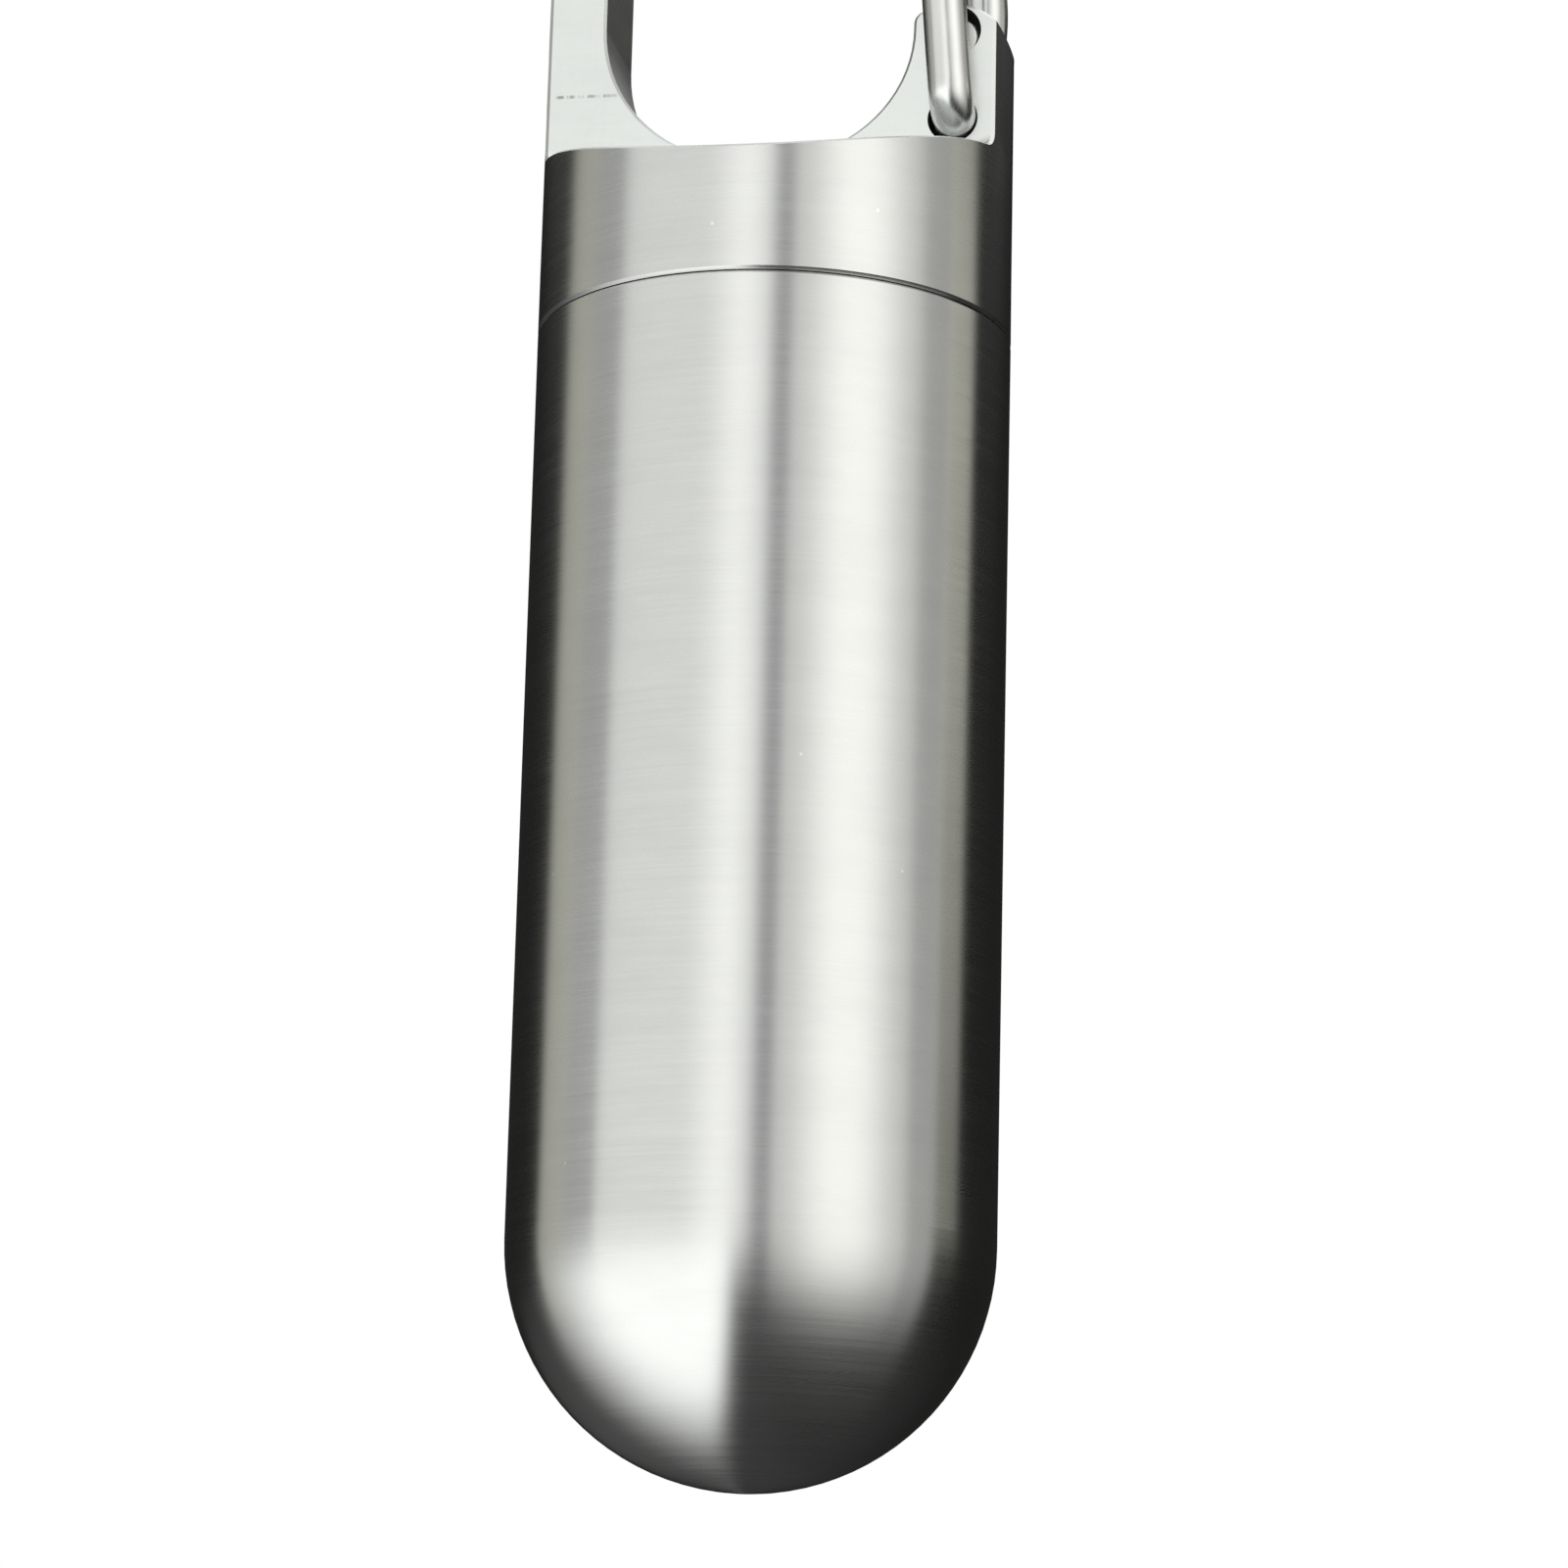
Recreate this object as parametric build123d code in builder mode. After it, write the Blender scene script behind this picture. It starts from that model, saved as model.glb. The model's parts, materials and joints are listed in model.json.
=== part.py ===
from build123d import *
import os
from math import cos, radians, sin, sqrt, tan

# A screw-top steel capsule that hangs from a clip loop. The loop is milled from the lid, and a spring wire gate
# closes it.
#
# Frame: +Z up, +X towards the gate, -Y towards the front face of the loop. The origin is the tip of the dome, on
# the turning axis. Names ending in _up are heights above the seam, where the lid meets the body.

os.makedirs("parts", exist_ok=True)

# --- Driving dimensions, in millimetres ---
body_radius = 10.0  # turned outside of the body, and of the lid at the seam
body_height = 48.3  # dome tip to seam
wall = 1.8
edge_break = 0.12
seam_gap = 0.05  # between the lid's face and the body's rim, screwed home

# Screw thread between the lid's spigot and the body's mouth
pitch = 1.25
male_root, male_crest, male_turns = 7.9, 8.5, 3.75
female_root, female_crest, female_turns = 8.65, 8.05, 5
male_thread_up = -7.6  # where the lid's ridge starts
crest_width = 0.25
flank_slope = 0.625  # half width gained for each millimetre below the crest
ridge_overlap = 0.15  # how far a ridge's base is sunk into its wall
spigot_end_up = -8.6
spigot_chamfer = 0.4
thread_relief_up = -10.3  # the bore is cleared down to here for the end of the thread

# Seal ring in its groove, and the counterbore that it seals against
groove_radius = 7.75
land_radius = 8.6  # collar of the spigot that keeps the ring in its groove
land_top_up, land_bottom_up = -1.65, -2.2
counterbore_radius, counterbore_up = 9.25, -1.9
ring_section_radius = 0.7
ring_centre_radius = 8.5

# Lid above the seam
pocket_radius, pocket_top_up, pocket_chamfer = 6.3, 2.6, 0.8  # hollow in the underside of the lid
crown_up = 30.0  # centre of the domed crown
crown_radius = 9.93  # the lid narrows slightly from the seam up to here
shoulder_centre_up, shoulder_radius = 27.0, 21.65  # arc that each face of the plate was cut down to
shoulder_fillet = 0.5
plate_thickness = 5.5
eye_radius = 6.63  # half the width of the loop's opening
eye_centre_x = -0.51
eye_bottom_up = 7.4
eye_corner_radii = (6.0, 5.5)
stub_centre_up, nose_centre_up = 11.3, 23.9  # centres of the round ends on both sides of the gate's gap
end_centre_x, end_radius, end_corner_radius = 7.7, 2.65, 0.6

# Wire gate: x and height above the seam
wire_diameter = 1.85
lower_hole, lower_hole_diameter = (7.84, 8.8), 2.12
upper_hole, upper_hole_diameter = (7.88, 12.7), 2.22
lower_pin, upper_pin = (7.92, 8.82), (7.94, 12.57)  # the spring load draws each pin to one side of its hole
rear_bow = (8.5, 16.0)  # the rear leg leans out to here before it runs up to the crossing
crossing = (6.75, 24.0)  # middle of the wire where it crosses the nose
hook_radius = 1.12
hook_play = 0.1  # between the wire's middle and the hook's
hook_relief = 12.0  # degrees that the hook's lower wall falls away, along the wire's way out
wire_clearance = 0.1  # between the legs and the plate
bend_radius, bow_radius = 1.2, 10.0
pin_setback = 0.45  # how far each pin stops short of the far face
crossing_cut = 0.01  # each half of the wire stops this far from the middle

# --- Worked-out dimensions ---
seam = body_height
rim = seam - seam_gap
crown = seam + crown_up
shoulder_centre = seam + shoulder_centre_up
plate_half = plate_thickness / 2
wire_radius = wire_diameter / 2
leg_y = plate_half + wire_clearance + wire_radius
eye_right = eye_centre_x + eye_radius
mouth_radius = female_root
bowl_radius = body_radius - wall
clear = body_radius + 1  # reach of a cut that has to pass right through
outline_band = 0.5  # the middle of an outer edge lies within this of the lid's widest


def lid_radius(up):
    """Turned radius of the lid at a height above the seam."""
    return body_radius - (body_radius - crown_radius) * up / crown_up


def on_outline(edge):
    """Whether an edge of the loop's faces follows the outside of the lid, and not its opening."""
    middle = edge.center()
    return abs(middle.X) > crown_radius - outline_band or middle.Z > crown + crown_radius - outline_band


def thread_ridge(root, crest, start_up, turns):
    """Helical ridge with sloping flanks, standing on the cylinder of its root radius."""
    base = root - ridge_overlap if crest > root else root + ridge_overlap
    base_half = crest_width / 2 + flank_slope * abs(crest - base)
    start = seam + start_up
    with BuildPart() as ridge:
        with BuildLine():
            Helix(pitch, turns * pitch, root, center=(0, 0, start))
        with BuildSketch(Plane.XZ):
            with BuildLine():
                Polyline(
                    (base, start - base_half),
                    (crest, start - crest_width / 2),
                    (crest, start + crest_width / 2),
                    (base, start + base_half),
                    close=True,
                )
            make_face()
        sweep(is_frenet=True)
    return ridge.part


# --- Body: a turned tube with a hemispherical end, threaded inside its mouth ---
with BuildPart() as capsule_body:
    with BuildSketch(Plane.XZ):
        with BuildLine():
            dome = CenterArc((0, body_radius), body_radius, -90, 90)
            bowl = CenterArc((0, body_radius), bowl_radius, -90, 90)
            Line(dome @ 0, bowl @ 0)
            Polyline(
                dome @ 1,
                (body_radius, rim - edge_break),
                (body_radius - edge_break, rim),
                (counterbore_radius, rim),
                (counterbore_radius, seam + counterbore_up),
                (mouth_radius, seam + counterbore_up - (counterbore_radius - mouth_radius)),
                (mouth_radius, seam + thread_relief_up),
                (bowl_radius, seam + thread_relief_up - (mouth_radius - bowl_radius)),
                bowl @ 1,
            )
        make_face()
    revolve(axis=Axis.Z)
    # The female ridge runs midway between the turns of the male one
    add(thread_ridge(female_root, female_crest, male_thread_up - 1.5 * pitch, female_turns))
capsule_body.part.label = "capsule_body"

# --- Lid: spigot, collar, loop, gate stub and hooked nose in one machined piece ---
with BuildPart() as lid:
    with BuildSketch(Plane.XZ):
        with BuildLine():
            dome = CenterArc((0, crown), crown_radius, 0, 90)
            pocket_top = seam + pocket_top_up
            Polyline(
                dome @ 0,
                (body_radius, seam + edge_break),
                (body_radius - edge_break, seam),
                (groove_radius, seam),
                (groove_radius, seam + land_top_up),
                (land_radius, seam + land_top_up),
                (land_radius, seam + land_bottom_up),
                (male_root, seam + land_bottom_up),
                (male_root, seam + spigot_end_up + spigot_chamfer),
                (male_root - spigot_chamfer, seam + spigot_end_up),
                (pocket_radius, seam + spigot_end_up),
                (pocket_radius, pocket_top - pocket_chamfer),
                (pocket_radius - pocket_chamfer, pocket_top),
                (0, pocket_top),
                dome @ 1,
            )
        make_face()
    revolve(axis=Axis.Z)

    # Both sides are faced off to leave the loop's plate between two arched shoulders
    with BuildSketch(Plane.YZ) as cutter:
        depth = clear - plate_half
        for side in (-1, 1):
            with Locations((side * (plate_half + depth / 2), shoulder_centre - shoulder_radius / 2)):
                Rectangle(depth, shoulder_radius)
        corners = cutter.vertices().group_by(Axis.Y)[0].sort_by(lambda v: abs(v.X))[:2]
        fillet(corners, shoulder_fillet)
    revolve(axis=Axis((0, 0, shoulder_centre), (0, 1, 0)), mode=Mode.SUBTRACT)

    # Opening of the loop: the gate's gap between the round ends of stub and nose, the eye with its round arch, and
    # the hook in the nose, a seat for the wire that is open towards the eye
    with BuildSketch(Plane.XZ) as opening:
        gap_height = nose_centre_up - stub_centre_up
        with Locations(((eye_right + clear) / 2, seam + stub_centre_up + gap_height / 2)):
            Rectangle(clear - eye_right, gap_height)
        with Locations(*((end_centre_x, seam + up) for up in (stub_centre_up, nose_centre_up))):
            Circle(end_radius, mode=Mode.SUBTRACT)
        with BuildLine():
            left, bottom, right = eye_centre_x - eye_radius, seam + eye_bottom_up, eye_right
            arch = CenterArc((eye_centre_x, crown), eye_radius, 0, 180)
            floor = FilletPolyline(arch @ 1, (left, bottom), (right, bottom), arch @ 0, radius=eye_corner_radii)
        make_face()
        ends = opening.vertices().filter_by(lambda v: abs(v.X - eye_right) < 0.01).sort_by(Axis.Y)
        fillet(ends.filter_by(lambda v: abs(v.Y - crown) > 1)[-2:], end_corner_radius)
        hook_x, hook_z = crossing[0] - hook_play, seam + crossing[1]
        fall = radians(hook_relief)
        low_x, low_z = hook_x + hook_radius * sin(fall), hook_z - hook_radius * cos(fall)
        with BuildLine():
            Polyline(
                (hook_x, hook_z + hook_radius),
                (eye_centre_x, hook_z + hook_radius),
                (eye_centre_x, low_z - (low_x - eye_centre_x) * tan(fall)),
                (low_x, low_z),
                (hook_x, hook_z),
                close=True,
            )
        make_face()
        with Locations((hook_x, hook_z)):
            Circle(hook_radius)
    extrude(amount=clear, both=True, mode=Mode.SUBTRACT)

    # The edges of the loop's faces are broken, first round the opening and then round the outside
    for outside in (False, True):
        rims = lid.edges().filter_by(
            lambda e: abs(abs(e.center().Y) - plate_half) < 0.01 and e.center().Z > seam + eye_bottom_up - edge_break
        )
        chamfer(rims.filter_by(lambda e: on_outline(e) == outside), edge_break)

    # Cross holes for the gate's two pins
    with BuildSketch(Plane.XZ):
        for (x, up), diameter in ((lower_hole, lower_hole_diameter), (upper_hole, upper_hole_diameter)):
            with Locations((x, seam + up)):
                Circle(diameter / 2)
    extrude(amount=clear, both=True, mode=Mode.SUBTRACT)

    add(thread_ridge(male_root, male_crest, male_thread_up, male_turns))
lid.part.label = "lid"

# --- Seal ring ---
with BuildPart() as seal_ring:
    with BuildSketch(Plane.XZ):
        with Locations((ring_centre_radius, seam + land_top_up / 2)):
            Circle(ring_section_radius)
    revolve(axis=Axis.Z)
seal_ring.part.label = "seal_ring"


def gate_half(pin, side, bow):
    """One leg of the wire: its pin, the leg beside the plate, and half of the crossing. side is -1 in front."""
    pin_z, crossing_z = seam + pin[1], seam + crossing[1]
    with BuildPart() as half:
        with BuildLine() as route:
            FilletPolyline(
                (pin[0], side * (pin_setback - plate_half), pin_z),
                (pin[0], side * leg_y, pin_z),
                *((x, side * leg_y, seam + up) for x, up in bow),
                (crossing[0], side * leg_y, crossing_z),
                (crossing[0], side * crossing_cut, crossing_z),
                radius=(bend_radius, *(bow_radius for _ in bow), bend_radius),
            )
        with BuildSketch(Plane(origin=route.line @ 0, z_dir=route.line % 0)):
            Circle(wire_radius)
        sweep(path=route.line)
        tip = half.faces().filter_by(GeomType.PLANE).sort_by(Axis.Z)[0]
        chamfer(tip.edges(), edge_break)
    return half.part


# --- Wire gate, in two halves that meet in the middle of the crossing ---
gate_wire_front = gate_half(lower_pin, -1, ())
gate_wire_front.label = "gate_wire_front"
gate_wire_rear = gate_half(upper_pin, 1, (rear_bow,))
gate_wire_rear.label = "gate_wire_rear"

for piece in (capsule_body.part, lid.part, seal_ring.part, gate_wire_front, gate_wire_rear):
    export_step(piece, f"parts/{piece.label}.step")
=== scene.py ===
import json
from math import cos, pi, radians, sin, sqrt, tan

import bpy
import bmesh
from mathutils import Matrix, Vector


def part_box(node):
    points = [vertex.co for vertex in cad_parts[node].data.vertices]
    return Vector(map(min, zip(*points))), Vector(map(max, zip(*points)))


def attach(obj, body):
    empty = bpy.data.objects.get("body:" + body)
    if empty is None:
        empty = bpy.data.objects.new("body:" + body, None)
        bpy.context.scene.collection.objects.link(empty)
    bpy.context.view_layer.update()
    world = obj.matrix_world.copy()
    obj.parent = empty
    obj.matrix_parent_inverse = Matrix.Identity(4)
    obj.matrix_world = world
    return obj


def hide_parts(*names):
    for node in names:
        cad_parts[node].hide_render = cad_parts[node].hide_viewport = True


MM = 0.001
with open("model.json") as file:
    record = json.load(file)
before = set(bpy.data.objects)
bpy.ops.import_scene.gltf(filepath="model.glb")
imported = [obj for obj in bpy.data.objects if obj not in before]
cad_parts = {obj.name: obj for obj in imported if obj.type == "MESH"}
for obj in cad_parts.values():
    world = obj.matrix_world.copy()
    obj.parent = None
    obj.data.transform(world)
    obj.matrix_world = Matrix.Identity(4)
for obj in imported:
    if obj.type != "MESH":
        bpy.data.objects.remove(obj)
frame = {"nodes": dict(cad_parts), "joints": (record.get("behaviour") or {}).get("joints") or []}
nodes = frame["nodes"]
joints = {j["name"]: j for j in frame["joints"]}
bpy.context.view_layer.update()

# --- Places and sizes, read from the frame ---
body_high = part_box("capsule_body")[1]
front_low, front_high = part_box("gate_wire_front")
rear_low, rear_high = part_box("gate_wire_rear")
RADIUS = body_high.x  # turned outside of the capsule
SEAM = joints["unscrew_turn"]["pos_m"][2]
LOWER_PIN = Vector(joints["gate_pivot"]["pos_m"])
CROSSING = Vector(joints["gate_twist"]["pos_m"])
WIRE_RADIUS = LOWER_PIN.z - front_low.z
UPPER_PIN_OFFSET = 0.02 * MM  # the upper pin stands this much further out than the lower one
UPPER_PIN = Vector((LOWER_PIN.x + UPPER_PIN_OFFSET, 0, rear_low.z + WIRE_RADIUS))
REAR_BOW = Vector((8.5 * MM, 0, SEAM + 16.0 * MM))  # the rear leg leans out to here, then runs up to the crossing
LEG_Y = rear_high.y - WIRE_RADIUS  # each leg's middle stands this far from the loop's middle plane
WIRE_CLEARANCE = 0.1 * MM
PLATE_HALF = LEG_Y - WIRE_RADIUS - WIRE_CLEARANCE
PIN_END_Y = front_high.y  # the front pin's tip, behind the middle plane


# --- Node helpers ---
class Graph:
    """A material's or world's node tree, with short ways to add and join nodes."""

    def __init__(self, tree):
        self.tree = tree

    def add(self, kind, inputs=(), **settings):
        node = self.tree.nodes.new(kind)
        for name, value in settings.items():
            setattr(node, name, value)
        for name, value in dict(inputs).items():
            self.put(node.inputs[name], value)
        return node

    def put(self, socket, value):
        if isinstance(value, bpy.types.NodeSocket):
            self.tree.links.new(value, socket)
        else:
            socket.default_value = value

    def math(self, operation, a, b=0.0, clamp=False):
        node = self.add("ShaderNodeMath", operation=operation, use_clamp=clamp)
        self.put(node.inputs[0], a)
        self.put(node.inputs[1], b)
        return node.outputs[0]

    def remap(self, value, from_low, from_high, to_low, to_high, smooth=False):
        node = self.add("ShaderNodeMapRange", interpolation_type="SMOOTHSTEP" if smooth else "LINEAR")
        for name, v in (("Value", value), ("From Min", from_low), ("From Max", from_high),
                        ("To Min", to_low), ("To Max", to_high)):
            self.put(node.inputs[name], v)
        return node.outputs["Result"]

    def mix(self, factor, a, b):
        node = self.add("ShaderNodeMix", data_type="RGBA")
        self.put(node.inputs[0], factor)
        self.put(node.inputs[6], a)
        self.put(node.inputs[7], b)
        return node.outputs[2]

    def lit(self, base, share, colour):
        """The base colour with a share of another added to it."""
        node = self.add("ShaderNodeMix", data_type="RGBA", blend_type="ADD")
        self.put(node.inputs[0], share)
        self.put(node.inputs[6], base)
        self.put(node.inputs[7], tuple(colour) + (1.0,))
        return node.outputs[2]

    def noise(self, vector, scale, detail=2.0, roughness=0.5):
        node = self.add("ShaderNodeTexNoise", {"Scale": scale, "Detail": detail, "Roughness": roughness})
        self.put(node.inputs["Vector"], vector)
        return node.outputs["Fac"]

    def stretched(self, vector, x, y, z):
        node = self.add("ShaderNodeMapping", {"Vector": vector, "Scale": (x, y, z)})
        return node.outputs["Vector"]


def grey(v):
    return (v, v, v, 1.0)


def new_material(name):
    material = bpy.data.materials.new(name)
    material.use_nodes = True
    graph = Graph(material.node_tree)
    shader = material.node_tree.nodes["Principled BSDF"]
    return material, graph, shader


def steel(name, colour, roughness, anisotropic, grain, depth, tangent="Z", rotation=0.25, speck=0.0, wear=None):
    """Bare stainless steel. grain and wear are functions that give the brushing pattern and a mask of darker marks
    from the object's coordinates. speck is the size of scattered pale spots, as a share of the distance between
    them."""
    material, g, shader = new_material(name)
    place = g.add("ShaderNodeTexCoord").outputs["Object"]
    lines = grain(g, place)
    broad = g.noise(place, 90.0, 3.0)
    low, high = roughness
    g.put(shader.inputs["Metallic"], 1.0)
    g.put(shader.inputs["Anisotropic"], anisotropic)
    g.put(shader.inputs["Anisotropic Rotation"], rotation)
    rough = g.remap(g.math("ADD", g.math("MULTIPLY", lines, 0.6), g.math("MULTIPLY", broad, 0.4)),
                    0.25, 0.75, low, high)
    g.put(shader.inputs["Roughness"], rough)
    darker = tuple(0.94 * c for c in colour)
    tint = g.mix(g.remap(lines, 0.3, 0.7, 0.0, 1.0), darker + (1.0,), colour + (1.0,))
    smudge = g.noise(g.stretched(place, 260, 260, 620), 1.0, 4.0, 0.6)
    tint = g.mix(g.remap(smudge, 0.42, 0.72, 0.0, 0.16), tint, grey(0.48))
    if wear:
        tint = g.mix(wear(g, place), tint, grey(0.22))
    if speck:
        spots = g.add("ShaderNodeTexVoronoi", {"Vector": place, "Scale": 260.0}).outputs["Distance"]
        tint = g.mix(g.remap(spots, speck, speck * 1.4, 1.0, 0.0), tint, grey(0.8))
    g.put(shader.inputs["Base Color"], tint)
    bump = g.add("ShaderNodeBump", {"Strength": 0.35, "Distance": depth, "Height": lines})
    g.put(shader.inputs["Normal"], bump.outputs["Normal"])
    if tangent:
        node = g.add("ShaderNodeTangent", direction_type="RADIAL", axis=tangent)
        g.put(shader.inputs["Tangent"], node.outputs["Tangent"])
    return material


def turned_grain(g, place):
    """Fine lines round the axis, spaced evenly along the profile, so they close up to rings on the dome."""
    split = g.add("ShaderNodeSeparateXYZ", {"Vector": place})
    x, y, z = split.outputs
    sunk = g.remap(z, 0.0, RADIUS, 1.0, 0.0)
    along = g.math("SUBTRACT", g.math("MAXIMUM", z, RADIUS), g.math("MULTIPLY", g.math("ARCSINE", sunk), RADIUS))
    ring = g.add("ShaderNodeCombineXYZ", {"X": x, "Y": y, "Z": along}).outputs[0]
    fine = g.noise(g.stretched(ring, 130, 130, 9000), 1.0, 2.0)
    coarse = g.noise(g.stretched(ring, 90, 90, 2200), 1.0, 2.0)
    return g.math("ADD", g.math("MULTIPLY", fine, 0.6), g.math("MULTIPLY", coarse, 0.4))


def milled_grain(g, place):
    """Faint straight marks along the plate's faces, crossed by fine random ones."""
    fine = g.noise(g.stretched(place, 900, 900, 5200), 1.0, 3.0)
    cross = g.noise(g.stretched(place, 5200, 900, 700), 1.0, 2.0)
    return g.math("ADD", g.math("MULTIPLY", fine, 0.6), g.math("MULTIPLY", cross, 0.4))


def walled_grain(g, place):
    """Marks through the plate's thickness on the walls of its opening, as a side-cutting mill leaves them."""
    fine = g.noise(g.stretched(place, 6500, 250, 2600), 1.0, 3.0)
    broad = g.noise(g.stretched(place, 1500, 120, 600), 1.0, 2.0)
    return g.math("ADD", g.math("MULTIPLY", fine, 0.5), g.math("MULTIPLY", broad, 0.5))


def drawn_grain(g, place):
    """Long faint die lines along the wire's legs."""
    return g.noise(g.stretched(place, 5200, 5200, 260), 1.0, 3.0)


def limb_scratch(g, place):
    """One short broken scratch straight across the front of the loop's plain limb."""
    x, y, z = g.add("ShaderNodeSeparateXYZ", {"Vector": place}).outputs
    off = g.math("ABSOLUTE", g.math("SUBTRACT", z, SEAM + 10.4 * MM))
    line = g.remap(off, 0.02 * MM, 0.11 * MM, 1.0, 0.0, smooth=True)
    start = g.remap(x, -9.25 * MM, -9.1 * MM, 0.0, 1.0)
    stop = g.remap(x, -6.8 * MM, -6.5 * MM, 1.0, 0.0)
    front = g.remap(y, -0.1 * MM, 0.1 * MM, 1.0, 0.0)
    dashes = g.remap(g.noise(g.stretched(place, 3200, 400, 400), 1.0, 2.0), 0.36, 0.52, 0.0, 0.8)
    mask = g.math("MULTIPLY", g.math("MULTIPLY", line, dashes), g.math("MULTIPLY", start, stop))
    return g.math("MULTIPLY", mask, front)


def make_rubber():
    material, g, shader = new_material("seal_rubber")
    place = g.add("ShaderNodeTexCoord").outputs["Object"]
    fine = g.noise(place, 5200.0, 3.0)
    broad = g.noise(place, 420.0, 2.0)
    g.put(shader.inputs["Base Color"], g.mix(g.remap(broad, 0.35, 0.7, 0.0, 1.0), grey(0.012), grey(0.03)))
    g.put(shader.inputs["Roughness"], g.remap(fine, 0.3, 0.7, 0.42, 0.6))
    g.put(shader.inputs["Specular IOR Level"], 0.45)
    bump = g.add("ShaderNodeBump", {"Strength": 0.3, "Distance": 0.02 * MM, "Height": fine})
    g.put(shader.inputs["Normal"], bump.outputs["Normal"])
    return material


TURNED = steel("turned_steel", (0.66, 0.66, 0.655), (0.23, 0.31), 0.85, turned_grain, 0.003 * MM, speck=0.015)
MILLED = steel("milled_steel", (0.70, 0.715, 0.705), (0.30, 0.40), 0.2, milled_grain, 0.006 * MM,
               wear=limb_scratch)
WALLED = steel("walled_steel", (0.53, 0.535, 0.525), (0.26, 0.40), 0.4, walled_grain, 0.006 * MM, rotation=0.0)
WIRE = steel("wire_steel", (0.72, 0.72, 0.715), (0.22, 0.34), 0.3, drawn_grain, 0.004 * MM, tangent=None)
RUBBER = make_rubber()


# --- CAD nodes: each face takes the finish that its tool left ---
def finish_faces(name, finishes, choose):
    """finishes are the materials, and choose gives a face's place in that list from its centre and normal."""
    mesh = nodes[name].data
    mesh.materials.clear()
    for material in finishes:
        mesh.materials.append(material)
    for face in mesh.polygons:
        face.material_index = choose(face.center, face.normal)


TURN, MILL, WALL = range(3)  # places in the lid's list of finishes
COLLAR_TOP = SEAM + 5 * MM  # the lid is turned all over up to here
OPENING_FLOOR = SEAM + 7 * MM  # the walls of the loop's opening are above this
CROWN = SEAM + 30 * MM  # centre of the loop's round top
CROWN_MIDDLE = 8.5 * MM  # halfway between the round top's inside and its outside
LEAN = 0.2  # a normal with less than this across the plate belongs to a wall or to the outside
SIDE_REACH, SIDE_FACING = 0.93 * RADIUS, 0.9  # a face this far out that faces this squarely outwards is turned
ON_PLATE = 0.02 * MM


def lid_finish(centre, normal):
    across = sqrt(centre.x**2 + centre.y**2)
    if centre.z < COLLAR_TOP:
        return TURN
    if abs(normal.y) > LEAN and abs(abs(centre.y) - PLATE_HALF) < ON_PLATE:
        return MILL
    outward = (normal.x * centre.x + normal.y * centre.y) / max(across, MM)
    if across > SIDE_REACH and outward > SIDE_FACING:
        return TURN
    if abs(normal.y) < LEAN and centre.z > OPENING_FLOOR:
        top = centre.z > CROWN and centre.x**2 + (centre.z - CROWN) ** 2 > CROWN_MIDDLE**2
        return TURN if top else WALL
    return MILL


finish_faces("capsule_body", (TURNED,), lambda centre, normal: 0)
finish_faces("lid", (TURNED, MILLED, WALLED), lid_finish)
finish_faces("seal_ring", (RUBBER,), lambda centre, normal: 0)


# --- Gate: one bent wire, in two halves that turn about the crossing's own axis, so they stay flush there ---
def bend_points(before, corner, after, radius, steps):
    """Points of the arc that rounds a corner of the wire's route."""
    a, b = (before - corner).normalized(), (after - corner).normalized()
    half = a.angle(b) / 2
    start = radius / tan(half)
    centre = corner + (a + b).normalized() * radius / sin(half)
    first = (corner + a * start) - centre
    axis = first.cross(corner + b * start - centre).normalized()
    turn = pi - 2 * half
    return [centre + Matrix.Rotation(turn * i / steps, 3, axis) @ first for i in range(steps + 1)]


def wire_route(corners, bends):
    """Middle line of half the wire, through the corners in turn. bends are the radii that round the inner ones."""
    steps = 14
    route = [corners[0]]
    for before, corner, after, radius in zip(corners, corners[1:], corners[2:], bends):
        route += bend_points(before, corner, after, radius, steps)
    return route + [corners[-1]]


def subdivided(points, longest):
    out = [points[0]]
    for a, b in zip(points, points[1:]):
        n = max(1, int((b - a).length / longest))
        out += [a.lerp(b, i / n) for i in range(1, n + 1)]
    return out


def make_wire(name, corners, bends):
    """Half the wire, from the tip of its pin to the middle of the crossing."""
    sides, longest, chamfer = 40, 0.4 * MM, 0.12 * MM
    end_strip = 0.01 * MM  # keeps the shading even up to the flat end
    route = subdivided(wire_route(corners, bends), longest)
    first = (route[1] - route[0]).normalized()
    last = (route[-1] - route[-2]).normalized()
    centres = [route[0], route[0] + first * chamfer, *route[1:-1], route[-1] - last * end_strip, route[-1]]
    radii = [WIRE_RADIUS - chamfer] + [WIRE_RADIUS] * (len(centres) - 1)
    mesh = bmesh.new()
    rings, previous = [], None
    out = Vector((1, 0, 0))
    for i, (centre, radius) in enumerate(zip(centres, radii)):
        ahead = (centres[min(i + 1, len(centres) - 1)] - centres[max(i - 1, 0)]).normalized()
        if previous is not None:
            out = previous.rotation_difference(ahead) @ out
        out = (out - ahead * out.dot(ahead)).normalized()
        side = ahead.cross(out)
        spokes = [out * cos(2 * pi * k / sides) + side * sin(2 * pi * k / sides) for k in range(sides)]
        rings.append([mesh.verts.new(centre + spoke * radius) for spoke in spokes])
        previous = ahead
    for a, b in zip(rings, rings[1:]):
        for k in range(sides):
            mesh.faces.new((a[k], a[(k + 1) % sides], b[(k + 1) % sides], b[k]))
    mesh.faces.new(list(reversed(rings[0])))
    mesh.faces.new(rings[-1])
    bmesh.ops.recalc_face_normals(mesh, faces=mesh.faces)
    data = bpy.data.meshes.new(name)
    mesh.to_mesh(data)
    mesh.free()
    for face in data.polygons:
        face.use_smooth = len(face.vertices) == 4
    wire = bpy.data.objects.new(name, data)
    bpy.context.scene.collection.objects.link(wire)
    data.materials.append(WIRE)
    return wire


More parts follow.
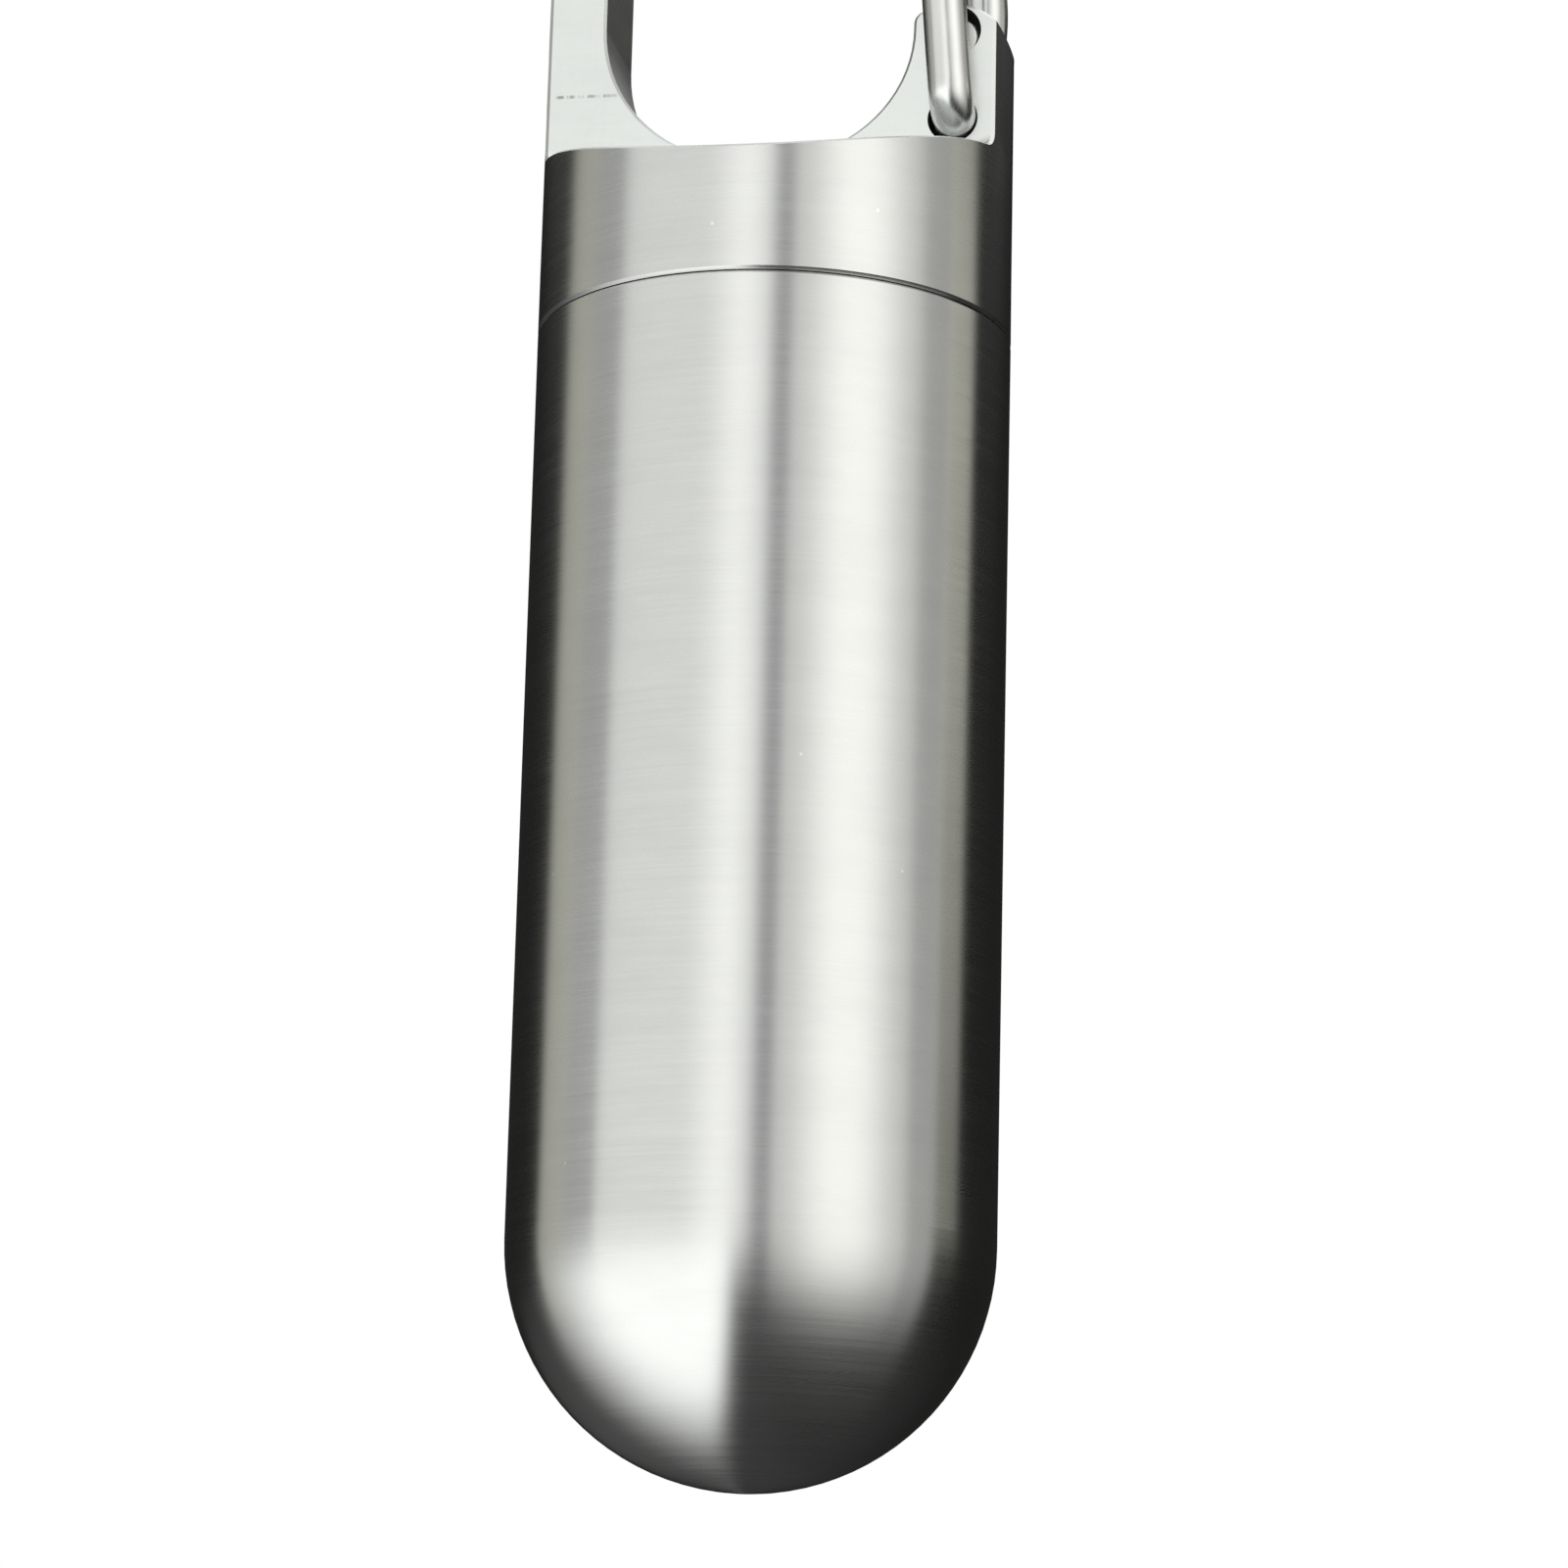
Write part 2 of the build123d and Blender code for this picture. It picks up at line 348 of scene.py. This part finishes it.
def beside(place, y):
    """The same place in the loop's plane, moved to this distance from its middle."""
    return Vector((place.x, y, place.z))


BEND, BOW = 1.2 * MM, 10 * MM  # radii of the wire's middle line, where it turns and where it leans
front_leg = make_wire(
    "front_leg",
    [beside(LOWER_PIN, PIN_END_Y), beside(LOWER_PIN, -LEG_Y), beside(CROSSING, -LEG_Y), CROSSING],
    (BEND, BEND),
)
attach(front_leg, "gate_front")
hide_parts("gate_wire_front")
rear_leg = make_wire(
    "rear_leg",
    [beside(UPPER_PIN, -PIN_END_Y), *(beside(place, LEG_Y) for place in (UPPER_PIN, REAR_BOW, CROSSING)), CROSSING],
    (BEND, BOW, BEND),
)
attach(rear_leg, "gate_rear")
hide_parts("gate_wire_rear")

# --- Studio: a pale floor well below the hanging capsule, and soft panels all round it ---
CAMERA_AZIMUTH, CAMERA_ELEVATION, CAMERA_ROLL = 10.09, -12.81, 1.44
CAMERA_DISTANCE = 20.36 * RADIUS
LOOK_AT = Vector((0, 0, SEAM - 1.908 * RADIUS))
CAMERA_SIDESTEP = 0.088 * RADIUS


def make_camera():
    a, e, roll = radians(CAMERA_AZIMUTH), radians(CAMERA_ELEVATION), radians(CAMERA_ROLL)
    back = Vector((sin(a) * cos(e), -cos(a) * cos(e), sin(e)))
    level = Vector((cos(a), sin(a), 0))
    rise = back.cross(level)
    right = level * cos(roll) + rise * sin(roll)
    up = rise * cos(roll) - level * sin(roll)
    data = bpy.data.cameras.new("camera")
    data.sensor_width = 36.0
    data.lens = 112.74
    data.clip_start, data.clip_end = 0.01, 50.0
    camera = bpy.data.objects.new("camera", data)
    bpy.context.scene.collection.objects.link(camera)
    turn = Matrix((right, up, back)).transposed().to_4x4()
    camera.matrix_world = Matrix.Translation(LOOK_AT + back * CAMERA_DISTANCE + right * CAMERA_SIDESTEP) @ turn
    bpy.context.scene.camera = camera


def make_floor():
    material, g, shader = new_material("studio_floor")
    place = g.add("ShaderNodeTexCoord").outputs["Object"]
    g.put(shader.inputs["Base Color"], g.mix(g.noise(place, 8.0, 3.0), grey(0.80), grey(0.84)))
    g.put(shader.inputs["Roughness"], 0.7)
    size, depth = 3.0, -0.10
    data = bpy.data.meshes.new("floor")
    data.from_pydata([(x, y, depth) for x, y in ((-size, -size), (size, -size), (size, size), (-size, size))],
                     [], [(0, 1, 2, 3)])
    data.materials.append(material)
    floor = bpy.data.objects.new("floor", data)
    bpy.context.scene.collection.objects.link(floor)
    floor.visible_glossy = False  # the steel mirrors the low panels of the studio, which this floor would hide


# Panels of the studio above the horizon, by azimuth from the camera's side, in degrees: from, to, softness, colour,
# strength. Where two overlap, their light adds up.
PANELS = (
    (-117, -97, 4, (1.0, 1.0, 0.87), 0.52),
    (-97, -81, 5, (0.985, 1.0, 0.985), 0.46),
    (-79, -2, 9, (0.985, 1.0, 0.97), 1.13),
    (-25, -4, 22, (1.0, 1.0, 0.98), 0.42),
    (-3, 11, 4, (0.965, 0.985, 1.0), 0.34),
    (9, 93, 6, (0.985, 1.0, 0.97), 0.52),
    (9, 76, 7, (1.0, 1.0, 0.955), 0.36),
    (24, 60, 28, (1.0, 1.0, 0.955), 0.66),
)
WARM_STRIP = (93, 112, 5, (1.0, 1.0, 0.87))  # as in the table, without its strength
AMBIENT = (0.016, 0.0165, 0.0155)
LOW_PANEL = (1.73, 1.76, 1.72, 1.0)


def band(g, azimuth, low, high, soft):
    """1 from low to high, and 0 outside, with soft edges."""
    up = g.remap(azimuth, low - soft / 2, low + soft / 2, 0.0, 1.0, smooth=True)
    down = g.remap(azimuth, high - soft / 2, high + soft / 2, 1.0, 0.0, smooth=True)
    return g.math("MULTIPLY", up, down)


def make_world():
    world = bpy.data.worlds.new("studio")
    bpy.context.scene.world = world
    world.use_nodes = True
    g = Graph(world.node_tree)
    world.node_tree.nodes.clear()
    ray = g.add("ShaderNodeTexCoord").outputs["Generated"]
    x, y, z = g.add("ShaderNodeSeparateXYZ", {"Vector": ray}).outputs
    a = radians(CAMERA_AZIMUTH)
    # Components of the direction towards the camera's side, and to its right, on the level
    near = g.math("SUBTRACT", g.math("MULTIPLY", x, sin(a)), g.math("MULTIPLY", y, cos(a)))
    right = g.math("ADD", g.math("MULTIPLY", x, cos(a)), g.math("MULTIPLY", y, sin(a)))
    azimuth = g.math("DEGREES", g.math("ARCTAN2", right, near))
    total = AMBIENT + (1.0,)
    for low, high, soft, colour, strength in PANELS:
        total = g.lit(total, g.math("MULTIPLY", band(g, azimuth, low, high, soft), strength), colour)
    # The warm strip on the right is brightest a little above the horizon
    low, high, soft, colour = WARM_STRIP
    rise = g.math("MULTIPLY", g.remap(z, 0.15, 0.28, 0.0, 1.6, smooth=True),
                  g.remap(z, 0.28, 0.34, 1.0, 0.28, smooth=True))
    total = g.lit(total, g.math("MULTIPLY", band(g, azimuth, low, high, soft), rise), colour)
    # Below the horizon the panels fade out, and on the left a large white one stands low and close
    total = g.mix(g.remap(z, -0.66, -0.14, 1.0, 0.0, smooth=True), total, grey(0.035))
    gap = g.math("MULTIPLY", g.remap(right, 0.05, 0.30, 1.0, 0.0, smooth=True), g.remap(z, -0.4, -0.06, 0.65, 0.0))
    total = g.mix(gap, total, grey(0.07))
    leftward = g.remap(right, -0.23, -0.09, 1.0, 0.0, smooth=True)
    facing = g.remap(near, -0.66, 0.30, 0.02, 1.0, smooth=True)
    low_panel = g.math("MULTIPLY", leftward, facing)
    total = g.mix(g.math("MULTIPLY", low_panel, g.remap(z, -0.12, -0.07, 1.0, 0.0)), total, LOW_PANEL)
    # Behind the capsule a dim high panel, and overhead a soft top light
    rear = g.math("MULTIPLY", g.remap(near, -0.9, -0.3, 1.0, 0.0, smooth=True), g.remap(z, -0.5, -0.1, 0.0, 1.0))
    total = g.lit(total, g.math("MULTIPLY", rear, g.remap(z, 0.35, 0.6, 0.0, 0.6)), (1.0, 1.0, 1.0))
    total = g.mix(g.remap(z, 0.72, 0.92, 0.0, 1.0, smooth=True), total, grey(1.5))
    seen = g.add("ShaderNodeLightPath").outputs["Is Camera Ray"]
    total = g.mix(seen, total, grey(1.0))
    light = g.add("ShaderNodeBackground", {"Color": total, "Strength": 1.0})
    output = g.add("ShaderNodeOutputWorld")
    g.put(output.inputs["Surface"], light.outputs[0])


make_camera()
make_floor()
make_world()
bpy.context.scene.view_settings.view_transform = "Standard"
